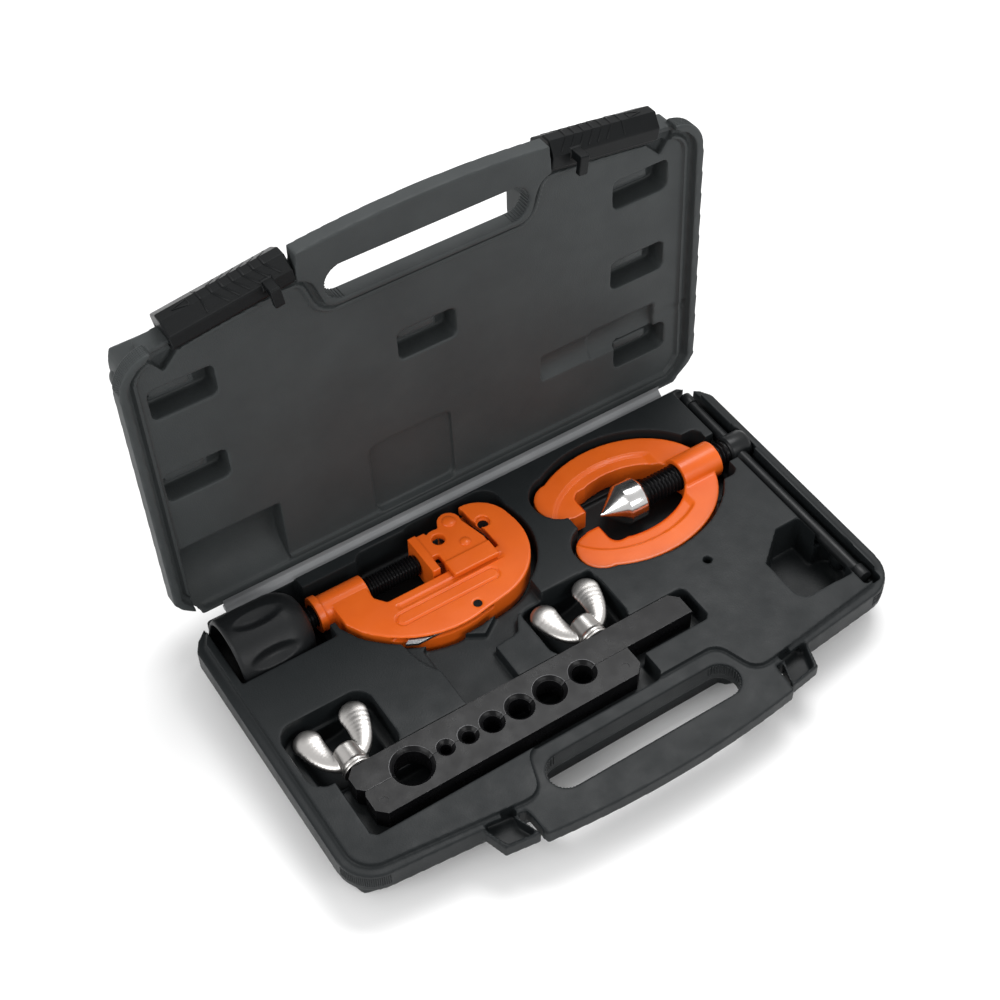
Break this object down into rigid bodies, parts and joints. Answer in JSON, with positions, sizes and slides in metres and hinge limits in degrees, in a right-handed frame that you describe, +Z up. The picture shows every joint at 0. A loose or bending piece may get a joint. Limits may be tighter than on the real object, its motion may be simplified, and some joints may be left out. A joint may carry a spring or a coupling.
{
  "type": "flaring and pipe cutting kit",
  "caption": "Open moulded carry case holding a screw-feed pipe cutter, a flaring yoke with cone and T-bar, and a split clamping bar with wing nuts.",
  "frame": {"origin": "centre of the case's underside, on the surface it stands on", "axes": "+X along the case from the cutter's knob to the yoke's T-bar, +Y from the handle to the lid's hinge, +Z up"},
  "size_m": [0.279, 0.2089, 0.1982],
  "materials": {
    "case_plastic": "fine-grained charcoal polyethylene, softly moulded",
    "latch_plastic": "black latch plastic with moulded arrow ribs",
    "orange_paint": "glossy orange enamel on castings",
    "black_oxide": "black oxide with bright worn edges",
    "knob_plastic": "black moulded knob",
    "zinc_plate": "bright zinc plate",
    "tool_steel": "ground hardened steel"
  },
  "bodies": {
    "case_base": {"case_base": "case_plastic", "hinge_band": "case_plastic"},
    "lid": {"case_lid": "case_plastic"},
    "latch_left": {"latch_left": "latch_plastic"},
    "latch_right": {"latch_right": "latch_plastic"},
    "cutter": {"cutter_frame": "orange_paint", "wheel_pin": "black_oxide", "reamer_pivot": "black_oxide"},
    "wheel": {"cutter_wheel": "tool_steel"},
    "reamer": {"reamer_blade": "tool_steel"},
    "carriage": {"cutter_carriage": "orange_paint", "roller_pins": "zinc_plate"},
    "roller_f": {"roller_front": "tool_steel"},
    "roller_r": {"roller_rear": "tool_steel"},
    "feed": {"feed_screw": "black_oxide", "feed_circlip": "zinc_plate", "feed_knob": "knob_plastic"},
    "yoke": {"yoke_frame": "orange_paint"},
    "cone": {"flaring_cone": "zinc_plate"},
    "press": {"press_screw": "black_oxide", "cone_washer": "black_oxide", "screw_head": "black_oxide"},
    "tbar": {"t_bar": "black_oxide", "t_bar_end_front": "black_oxide", "t_bar_end_rear": "black_oxide"},
    "clamp_rear": {"bar_rear": "black_oxide", "washer_left": "zinc_plate", "washer_right": "zinc_plate"},
    "clamp_front": {"bar_front": "black_oxide", "stud_left": "black_oxide", "stud_right": "black_oxide", "stud_pins": "black_oxide"},
    "nut_left": {"wing_nut_left": "zinc_plate"},
    "nut_right": {"wing_nut_right": "zinc_plate"}
  },
  "joints": [
    {"name": "lid_hinge", "type": "hinge", "parent": "case_base", "child": "lid", "pos_m": [0, 0.09, 0.025], "axis": [-1, 0, 0], "range_deg": [-93, 87]},
    {"name": "latch_left_slide", "type": "slide", "parent": "lid", "child": "latch_left", "axis": [-0.9903, -0.0073, -0.139], "range_m": [0, 0.005]},
    {"name": "latch_right_slide", "type": "slide", "parent": "lid", "child": "latch_right", "axis": [0.9903, -0.0073, -0.139], "range_m": [0, 0.005]},
    {"name": "cutter_lift", "type": "slide", "parent": "case_base", "child": "cutter", "axis": [0, 0, 1], "range_m": [0, 0.08]},
    {"name": "wheel_spin", "type": "hinge", "parent": "cutter", "child": "wheel", "pos_m": [0.00215, 0.0671, 0.0212], "axis": [0, 0, 1], "continuous": true},
    {"name": "reamer_fold", "type": "hinge", "parent": "cutter", "child": "reamer", "pos_m": [-0.02495, 0.0289, 0.0255], "axis": [0, 0, 1], "range_deg": [0, 60]},
    {"name": "carriage_feed", "type": "slide", "parent": "cutter", "child": "carriage", "axis": [1, 0, 0], "range_m": [-0.00038, 0.0025]},
    {"name": "feed_turn", "type": "hinge", "parent": "carriage", "child": "feed", "pos_m": [-0.05965, 0.0671, 0.0212], "axis": [1, 0, 0], "range_deg": [-95, 610]},
    {"name": "roller_front_spin", "type": "hinge", "parent": "carriage", "child": "roller_f", "pos_m": [-0.01165, 0.0601, 0.0212], "axis": [0, 0, 1], "continuous": true},
    {"name": "roller_rear_spin", "type": "hinge", "parent": "carriage", "child": "roller_r", "pos_m": [-0.01165, 0.0741, 0.0212], "axis": [0, 0, 1], "continuous": true},
    {"name": "yoke_lift", "type": "slide", "parent": "case_base", "child": "yoke", "axis": [0, 0, 1], "range_m": [0, 0.08]},
    {"name": "cone_advance", "type": "slide", "parent": "yoke", "child": "cone", "axis": [-1, 0, 0], "range_m": [0, 0.00005]},
    {"name": "press_turn", "type": "hinge", "parent": "cone", "child": "press", "pos_m": [0.10035, 0.0436, 0.0221], "axis": [-1, 0, 0], "range_deg": [-1, 10]},
    {"name": "t_bar_slide", "type": "slide", "parent": "press", "child": "tbar", "axis": [0, 1, 0], "range_m": [-0.004, 0.001]},
    {"name": "clamp_lift", "type": "slide", "parent": "case_base", "child": "clamp_rear", "axis": [0, 0, 1], "range_m": [0, 0.08]},
    {"name": "clamp_open", "type": "slide", "parent": "clamp_rear", "child": "clamp_front", "axis": [0, -1, 0], "range_m": [0, 0.0025]},
    {"name": "nut_left_turn", "type": "hinge", "parent": "clamp_rear", "child": "nut_left", "pos_m": [-0.1102, -0.0068, 0.0225], "axis": [0, 1, 0], "range_deg": [-10, 730]},
    {"name": "nut_right_turn", "type": "hinge", "parent": "clamp_rear", "child": "nut_right", "pos_m": [0.0088, -0.0068, 0.0225], "axis": [0, 1, 0], "range_deg": [-10, 730]}
  ],
  "couplings": [
    {"joint": "feed_turn", "follows": "carriage_feed", "rad_per_m": 4188.8},
    {"joint": "press_turn", "follows": "cone_advance", "rad_per_m": 3141.6},
    {"joint": "nut_left_turn", "follows": "clamp_open", "rad_per_m": 5026.5},
    {"joint": "nut_right_turn", "follows": "clamp_open", "rad_per_m": 5026.5}
  ]
}
